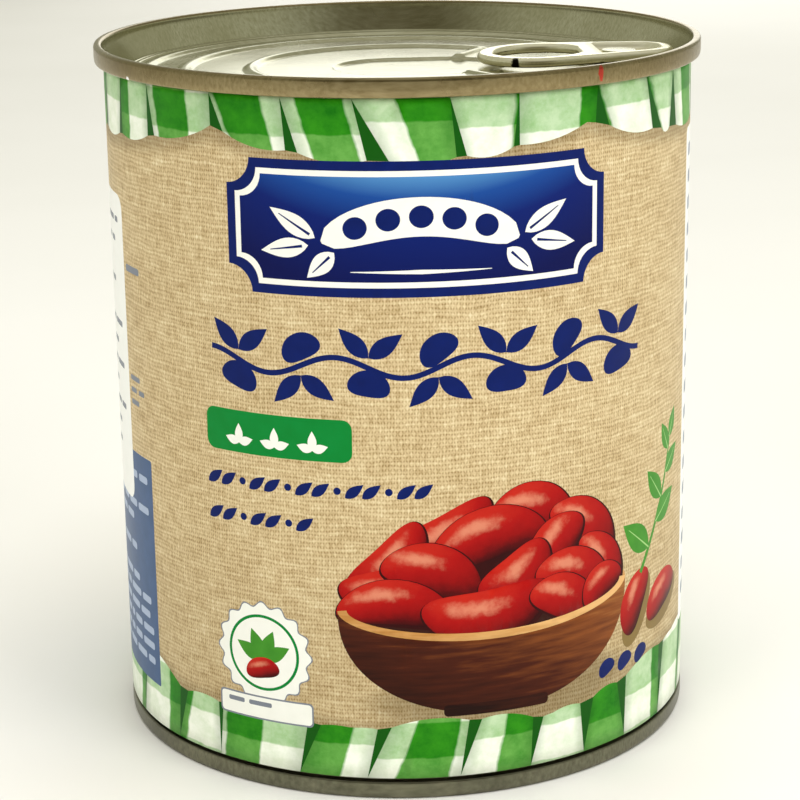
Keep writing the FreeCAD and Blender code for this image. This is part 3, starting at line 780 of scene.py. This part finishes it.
def sacking(name, shadow_depth):
    """Jute sacking, printed: uneven threads over and under each other, dark pinholes between.

    The upright threads are 0.48 mm apart, closer than those round the can, which are 0.7 mm.
    """
    material, tree, shader, wrap = varnished_paper(name, 0.42)
    pitch = (0.48, 0.7)
    drift = node(tree, "TexNoise", {"Vector": wrap, "Scale": 1 / 5.0}).outputs["Color"]
    woven = node(tree, "VectorMath", {0: drift, 1: (0.9, 0.9, 0.0), 2: wrap},
                 operation="MULTIPLY_ADD")
    threads = []
    for stretch in ((1 / pitch[0], 1 / 3.5, 1.0), (1 / 5.0, 1 / pitch[1], 1.0)):
        lines = node(tree, "Mapping", {"Vector": woven, "Scale": stretch})
        threads.append(node(tree, "TexNoise", {"Vector": lines, "Scale": 1.0, "Detail": 3.0,
                                               "Roughness": 0.7}))
    place = node(tree, "SeparateXYZ", {0: woven}).outputs
    gaps = []
    for axis in (0, 1):
        angle = node(tree, "Math", {0: place[axis], 1: math.tau / pitch[axis]},
                     operation="MULTIPLY")
        wave = node(tree, "Math", {0: angle}, operation="COSINE")
        gaps.append(node(tree, "Math", {0: wave, 1: 0.5, 2: 0.5}, operation="MULTIPLY_ADD"))
    pinhole = node(tree, "Math", {0: gaps[0], 1: gaps[1]}, operation="MULTIPLY")
    squares = node(tree, "Mapping", {"Vector": woven, "Scale": (1 / pitch[0], 1 / pitch[1], 1.0)})
    crossing = node(tree, "TexChecker", {"Vector": squares, "Scale": 1.0}).outputs["Fac"]
    clouds = node(tree, "TexNoise", {"Vector": wrap, "Scale": 1 / 14, "Detail": 3.0})
    tone = node(tree, "Math", {0: threads[0], 1: threads[1]}, operation="ADD")
    for layer, share in ((pinhole, -0.42), (crossing, 0.1), (clouds, 0.3)):
        tone = node(tree, "Math", {0: layer, 1: share, 2: tone}, operation="MULTIPLY_ADD")
    spread = node(tree, "MapRange", {0: tone, 1: 0.55, 2: 1.6})
    jute = node(tree, "ValToRGB", {"Fac": spread}, stops=(
        (0.0, "#886F45"), (0.25, "#AB9265"), (0.5, "#C8B087"), (0.75, "#DBC89E"),
        (1.0, "#ECDFBE")))
    shadow = node(tree, "SeparateXYZ", {0: node(tree, "UVMap", uv_map="tone")})
    shade = node(tree, "Math", {0: shadow, 1: shadow_depth}, operation="MULTIPLY")
    shaded = node(tree, "Mix", {"Factor": shade, "A": jute, "B": linear("#54431F")},
                  data_type="RGBA")
    tree.links.new(shaded.outputs["Result"], shader.inputs["Base Color"])
    return material


def gingham(name):
    """Gingham, printed as in water-colour: upright green stripes of 7 mm, level ones of 6 mm.

    Where two cross the green is full, and folds darken it. It reads mm along and down the cloth.
    """
    material, tree, shader, wrap = varnished_paper(name)
    cloth = node(tree, "SeparateXYZ", {0: node(tree, "UVMap", uv_map="print")}).outputs
    wobble = node(tree, "TexNoise", {"Vector": wrap, "Scale": 1 / 3.0})
    stripes = []
    for axis, width, edge in ((0, CHECK_WIDTH, 0.3), (1, CHECK_HEIGHT, 0.0)):
        moved = node(tree, "Math", {0: wobble, 1: 0.8, 2: cloth[axis]}, operation="MULTIPLY_ADD")
        angle = node(tree, "Math", {0: moved, 1: math.pi / width}, operation="MULTIPLY")
        wave = node(tree, "Math", {0: angle}, operation="SINE")
        stripes.append(node(tree, "MapRange", {0: wave, 1: edge - 0.07, 2: edge + 0.07}))
    washes = node(tree, "TexNoise", {"Vector": wrap, "Scale": 1 / 4.0, "Detail": 6.0,
                                     "Roughness": 0.7})
    washed = []
    for shades in ((("#DCE8CF", "#F8FCF0"), ("#93BF80", "#C0D9B2")),
                   (("#408A2C", "#68A84C"), ("#0E6C04", "#2F8C12"))):
        off, on = (node(tree, "ValToRGB", {"Fac": washes}, stops=((0.3, dark), (0.62, light)))
                   for dark, light in shades)
        washed.append(node(tree, "Mix", {"Factor": stripes[1], "A": off, "B": on},
                           data_type="RGBA"))
    green = node(tree, "Mix", {"Factor": stripes[0], "A": washed[0], "B": washed[1]},
                 data_type="RGBA")
    across = node(tree, "SeparateXYZ", {0: node(tree, "UVMap", uv_map="tone")})
    from_middle = node(tree, "Math", {0: across, 1: 0.5}, operation="SUBTRACT")
    from_fold = node(tree, "Math", {0: from_middle}, operation="ABSOLUTE")
    folded = node(tree, "MapRange", {0: from_fold, 1: 0.3, 2: 0.55, 3: 0.0, 4: 0.45})
    tuck = node(tree, "Math", {0: across, 1: -0.1}, operation="LESS_THAN")
    dark = node(tree, "Math", {0: folded, 1: tuck}, operation="MAXIMUM")
    shaded = node(tree, "Mix", {"Factor": dark, "A": green, "B": linear("#0C5206")},
                  data_type="RGBA")
    tree.links.new(shaded.outputs["Result"], shader.inputs["Base Color"])
    return material


def plaque_field(name):
    """Plaque ground: navy that lightens to sky blue towards its upper middle, like enamel."""
    material, tree, shader, _ = varnished_paper(name)
    place = node(tree, "SeparateXYZ", {0: node(tree, "UVMap", uv_map="print")}).outputs
    aside = node(tree, "Math", {0: place["X"], 1: place["X"]}, operation="MULTIPLY")
    height = node(tree, "Math", {0: aside, 1: -0.75, 2: place["Y"]}, operation="MULTIPLY_ADD")
    spread = node(tree, "MapRange", {0: height, 1: -1.0, 2: 1.0})
    blue = node(tree, "ValToRGB", {"Fac": spread}, stops=(
        (0.0, "#010A4A"), (0.5, "#041C68"), (0.72, "#174794"), (0.95, "#5B9AD0")))
    tree.links.new(blue.outputs["Color"], shader.inputs["Base Color"])
    return material


def bean_print(name):
    """Boiled kidney bean, as an airbrushed print: a glossy dark red skin lit from the upper left.

    It reads the place in the bean, from -1 to 1 along and across, and where the light comes from.
    """
    material, tree, shader, wrap = varnished_paper(name)
    place = node(tree, "UVMap", uv_map="print")
    light = node(tree, "UVMap", uv_map="tone")
    blotch = node(tree, "TexNoise", {"Vector": wrap, "Scale": 1 / 2.2, "Detail": 6.0,
                                     "Roughness": 0.65})
    squared = node(tree, "VectorMath", {0: place, 1: place}, operation="DOT_PRODUCT")
    across = node(tree, "Math", {0: squared, 1: 1.0}, operation="MINIMUM")
    left_over = node(tree, "Math", {0: 1.0, 1: across}, operation="SUBTRACT")
    facing = node(tree, "Math", {0: left_over}, operation="SQRT")
    to_light = node(tree, "VectorMath", {0: place, 1: light}, operation="DOT_PRODUCT")
    lit = node(tree, "Math", {0: facing, 1: 0.5, 2: to_light}, operation="MULTIPLY_ADD")
    uneven = node(tree, "Math", {0: blotch, 1: 0.55, 2: lit}, operation="MULTIPLY_ADD")
    spread = node(tree, "MapRange", {0: uneven, 1: -0.55, 2: 1.45})
    skin = node(tree, "ValToRGB", {"Fac": spread}, stops=(
        (0.0, "#2C0103"), (0.22, "#520104"), (0.45, "#8C0406"), (0.68, "#A60B0A"),
        (0.95, "#BE2416")))
    lean = node(tree, "VectorMath", {0: light, 1: (0.55, 0.42, 0.0)}, operation="MULTIPLY")
    off = node(tree, "VectorMath", {0: place, 1: lean}, operation="SUBTRACT")
    flat = node(tree, "VectorMath", {0: off, 1: (0.9, 1.5, 0.0)}, operation="MULTIPLY")
    reach = node(tree, "VectorMath", {0: flat}, operation="LENGTH")
    uneven_edge = node(tree, "Math", {0: blotch, 1: 0.5}, operation="SUBTRACT")
    ragged = node(tree, "Math", {0: uneven_edge, 1: 0.9, 2: reach}, operation="MULTIPLY_ADD")
    glint = node(tree, "MapRange", {0: ragged, 1: 0.6, 2: 0.05, 3: 0.0, 4: 0.5},
                 interpolation_type="SMOOTHSTEP")
    shining = node(tree, "Mix", {"Factor": glint, "A": skin, "B": linear("#F0B08C")},
                   data_type="RGBA")
    tree.links.new(shining.outputs["Result"], shader.inputs["Base Color"])
    return material


def turned_wood(name):
    """Turned and oiled wood, as a print: brown grain that runs round, light on the lip."""
    material, tree, shader, _ = varnished_paper(name)
    place = node(tree, "UVMap", uv_map="print")
    spots = node(tree, "SeparateXYZ", {0: place}).outputs
    rounds = node(tree, "Mapping", {"Vector": place, "Scale": (3.0, 20.0, 1.0)})
    grain = node(tree, "TexNoise", {"Vector": rounds, "Scale": 1.0, "Detail": 5.0})
    value = node(tree, "SeparateXYZ", {0: node(tree, "UVMap", uv_map="tone")})
    for layer, share in ((spots["X"], 0.2), (spots["Y"], 0.34), (grain, 0.55)):
        value = node(tree, "Math", {0: layer, 1: share, 2: value}, operation="MULTIPLY_ADD")
    spread = node(tree, "MapRange", {0: value, 1: 0.1, 2: 1.35})
    brown = node(tree, "ValToRGB", {"Fac": spread}, stops=(
        (0.0, "#1E0904"), (0.25, "#451A0B"), (0.48, "#84481E"), (0.75, "#B98243"),
        (1.0, "#E2B376")))
    tree.links.new(brown.outputs["Color"], shader.inputs["Base Color"])
    return material


inks = {
    "paper": ink("label_paper_edge", "#EFEDE4", "#E4E1D6", 0.6),
    "sacking": sacking("sacking_print", 0.6),
    "sacking_shadow": ink("sacking_shadow_print", "#8D7645", "#7A6436"),
    "gingham": gingham("gingham_print"),
    "navy": ink("navy_ink", "#041D68", "#021450"),
    "white": ink("white_ink", "#F7F7F1", "#EDEEE6"),
    "plaque_blue": plaque_field("plaque_print"),
    "tag_green": ink("tag_green_ink", "#04883A", "#007A2A"),
    "leaf_green": ink("leaf_green_ink", "#4E9A30", "#2F7A1E"),
    "pale_green": ink("pale_green_ink", "#A4D084", "#90C070"),
    "red_bean": bean_print("kidney_bean_print"),
    "bean_shadow": ink("bean_shadow_ink", "#3A0506", "#240203"),
    "turned_wood": turned_wood("turned_wood_print"),
    "bowl_hollow": ink("bowl_hollow_ink", "#3A150C", "#2A0F0B"),
    "panel_blue": ink("panel_blue_ink", "#4A6490", "#3C5476"),
    "panel_white": ink("panel_white_ink", "#FCFCFA", "#F3F4F1"),
    "pale_ink": ink("pale_blue_ink", "#AEBCD5", "#A0B0CC"),
    "grey_ink": ink("grey_ink", "#828894", "#747A86"),
    "slate_ink": ink("slate_ink", "#8E97AA", "#828B9E"),
}


def divided(outline, spacing):
    """The closed outline, anticlockwise, with no side longer than the spacing."""
    area = sum(a.x * b.y - b.x * a.y for a, b in zip(outline, outline[1:] + outline[:1]))
    if area < 0:
        outline = outline[::-1]
    points = []
    for here, after in zip(outline, outline[1:] + outline[:1]):
        count = max(math.ceil((after - here).length / spacing - 1e-6), 1)
        points += [here.lerp(after, i / count) for i in range(count)]
    return points


strip = [Vector(p) for p in ((-WRAP_END, WRAP_FOOT), (WRAP_END, WRAP_FOOT), (WRAP_END, WRAP_TOP),
                             (-WRAP_END, WRAP_TOP))]


def in_shadow(x, z):
    """How deep a place on the sacking lies in shade, 0 to 1: the ribbons' and the bowl's cast shadow,
    and a broad painted shade that deepens towards the foot.
    """
    under_ribbon = min(top_hem(x) - 0.5 - z, z - foot_hem(x) - 0.3) / 3.2
    under_bowl = math.hypot((x - BOWL.x - 3) / (BOWL_HALF + 5), (z - 16.5) / 7.5) - 0.55
    soft = max(ease(1 - under_ribbon) * 0.75, ease(1 - under_bowl / 0.45))
    return max(soft, 0.25 * ease((50 - z) / 35)), 0.0


prints.insert(0, ("sacking", strip, lambda x, z: (x, z), in_shadow))
spots, loops = [], []
for _, outline, _, _ in prints:
    points = divided(outline, GRID)
    loops.append(list(range(len(spots), len(spots) + len(points))))
    spots += points
rows = [*np.arange(WRAP_FOOT + GRID, WRAP_TOP - 1, GRID), *np.arange(10.9, 20, 0.8),
        *np.arange(101.2, 108.5, 0.8)]
for row in rows:
    spots += [Vector((x, row)) for x in np.arange(-WRAP_END + 1, WRAP_END - 1, GRID)]
middle = [len(spots), len(spots) + 1]
spots += [Vector((0, WRAP_FOOT)), Vector((0, WRAP_TOP))]
flat, _, triangles, _, _, covers = geometry.delaunay_2d_cdt(spots, [middle], loops, 0, 1e-4)
flat = np.array([tuple(p) for p in flat])


def on_wrap(x, z, depth):
    """A place on the wrap, rolled round the can; the end on the right rises over the other."""
    lift = LAP_LIFT * ease((x - (WRAP_END - 2 * LAP - 3)) / 3)
    radius = WRAP_RADIUS + lift - depth
    angle = x / WRAP_RADIUS
    return radius * math.sin(angle), -radius * math.cos(angle), z


count = len(flat)
verts = [on_wrap(x, z, 0) for x, z in flat] + [on_wrap(x, z, PAPER) for x, z in flat]
sides = {}
for triangle in triangles:
    for a, b in zip(triangle, triangle[1:] + triangle[:1]):
        sides[(a, b)] = sides.get((a, b), 0) + 1
rim = [(a, b) for a, b in sides if (b, a) not in sides]
faces = [*map(tuple, triangles), *[tuple(count + corner for corner in reversed(t)) for t in triangles],
         *[(a, a + count, b + count, b) for a, b in rim]]
label = make_piece("label_wrap", verts, faces, inks["paper"], "label", "label_paper")
mesh = label.data
ink_order = list(inks)
for colour in ink_order[1:]:
    mesh.materials.append(inks[colour])
mesh.polygons.foreach_set("use_smooth", [True] * 2 * len(triangles) + [False] * len(rim))
tops = [max(cover) for cover in covers]
wrap_places, print_places, tones, bake_places = [], [], [], []
for face in mesh.polygons:
    outer = face.index < len(triangles)
    colour, _, place, tone = prints[tops[face.index]] if outer else prints[0]
    face.material_index = ink_order.index(colour) if outer else 0
    middle_x = sum(flat[corner % count][0] for corner in face.vertices) / len(face.vertices)
    for corner in face.vertices:
        x, z = flat[corner % count]
        across, up = abs(x) / WRAP_END, (z - WRAP_FOOT) / (WRAP_TOP - WRAP_FOOT)
        half_shelf = 0.0 if middle_x < 0 else 0.5
        wrap_places += [x, z]
        print_places += place(x, z) if outer else (x, z)
        tones += tone(x, z) if outer else (0.0, 0.0)
        bake_places += (0.99 * across + 0.005, half_shelf + 0.47 * up + 0.02) if outer else (
            across, 0.003 + 0.01 * up)
for name, values in (("OFBake", bake_places), ("wrap", wrap_places), ("print", print_places),
                     ("tone", tones)):
    mesh.uv_layers.new(name=name).data.foreach_set("uv", values)
mesh.update()


# ---------------------------------------------------------------- camera, light and floor
# Studio set-up for looking at the can: a pale seamless floor, soft boxes overhead and at both
# sides, and a pale room that is brightest behind the can.

camera_distance, camera_height = 421.3, 53.5
look_down, roll = math.radians(15.97), math.radians(-0.86)
camera = bpy.data.objects.new("camera", bpy.data.cameras.new("camera"))
bpy.context.scene.collection.objects.link(camera)
camera.data.lens = 107.1
camera.data.clip_start = 0.01
camera.data.shift_x = -0.003
target = Vector((0, 0, camera_height)) * MM
back = Vector((0, -math.cos(look_down), math.sin(look_down)))
turn = Matrix.Rotation(math.pi / 2 - look_down, 3, "X") @ Matrix.Rotation(roll, 3, "Z")
camera.matrix_world = Matrix.Translation(target + back * camera_distance * MM) @ turn.to_4x4()
bpy.context.scene.camera = camera
bpy.context.scene.view_settings.view_transform = "Standard"

floor_mesh = bpy.data.meshes.new("floor")
reach = 3.0
floor_mesh.from_pydata([(-reach, -reach, 0), (reach, -reach, 0), (reach, reach, 0),
                        (-reach, reach, 0)], [], [(0, 1, 2, 3)])
floor = bpy.data.objects.new("floor", floor_mesh)
bpy.context.scene.collection.objects.link(floor)
material, tree, shader = start_material("pale_matt_paper")
mottle = node(tree, "TexNoise", {"Vector": node(tree, "TexCoord").outputs["Object"], "Scale": 9.0})
tone = node(tree, "Mix", {"Factor": mottle, "A": linear("#E9E7E2"), "B": linear("#EFEDE9")},
            data_type="RGBA")
tree.links.new(tone.outputs["Result"], shader.inputs["Base Color"])
shader.inputs["Roughness"].default_value = 0.9
floor_mesh.materials.append(material)

world = bpy.data.worlds.new("studio")
world.use_nodes = True
bpy.context.scene.world = world
tree = world.node_tree
direction = node(tree, "SeparateXYZ", {0: node(tree, "TexCoord").outputs["Generated"]}).outputs
aside = node(tree, "Math", {0: direction["X"]}, operation="ABSOLUTE")
room = linear("#68634F")
for way, low, high, colour in ((aside, 0.2, 0.9, "#B9BAA8"), (direction["Y"], 0.1, 1.0, "#BDBEAA"),
                               (direction["Z"], 0.5, 0.95, "#CDCCC0")):
    share = node(tree, "MapRange", {0: way, 1: low, 2: high}, interpolation_type="SMOOTHSTEP")
    room = node(tree, "Mix", {"Factor": share, "A": room, "B": linear(colour)}, data_type="RGBA")
tree.links.new(room.outputs["Result"], tree.nodes["Background"].inputs["Color"])
tree.nodes["Background"].inputs["Strength"].default_value = 1.0


def soft_box(name, place, size, power, mirrored):
    """A square soft box at a place in metres, facing the can; glossy surfaces may mirror it."""
    light = bpy.data.lights.new(name, "AREA")
    light.size = size
    light.energy = power
    lamp = bpy.data.objects.new(name, light)
    lamp.visible_glossy = mirrored
    bpy.context.scene.collection.objects.link(lamp)
    aim = Vector((0, 0, 0.06)) - Vector(place)
    lamp.matrix_world = Matrix.Translation(place) @ aim.to_track_quat("-Z", "Y").to_matrix().to_4x4()


soft_box("overhead", (0.1, -0.1, 1.1), 0.9, 9.0, False)
soft_box("left", (-0.8, -0.9, 0.45), 0.6, 4.4, False)
soft_box("right", (0.9, -0.8, 0.5), 0.6, 6.8, False)
soft_box("backdrop", (0.17, 1.2, 0.36), 0.6, 1.8, True)
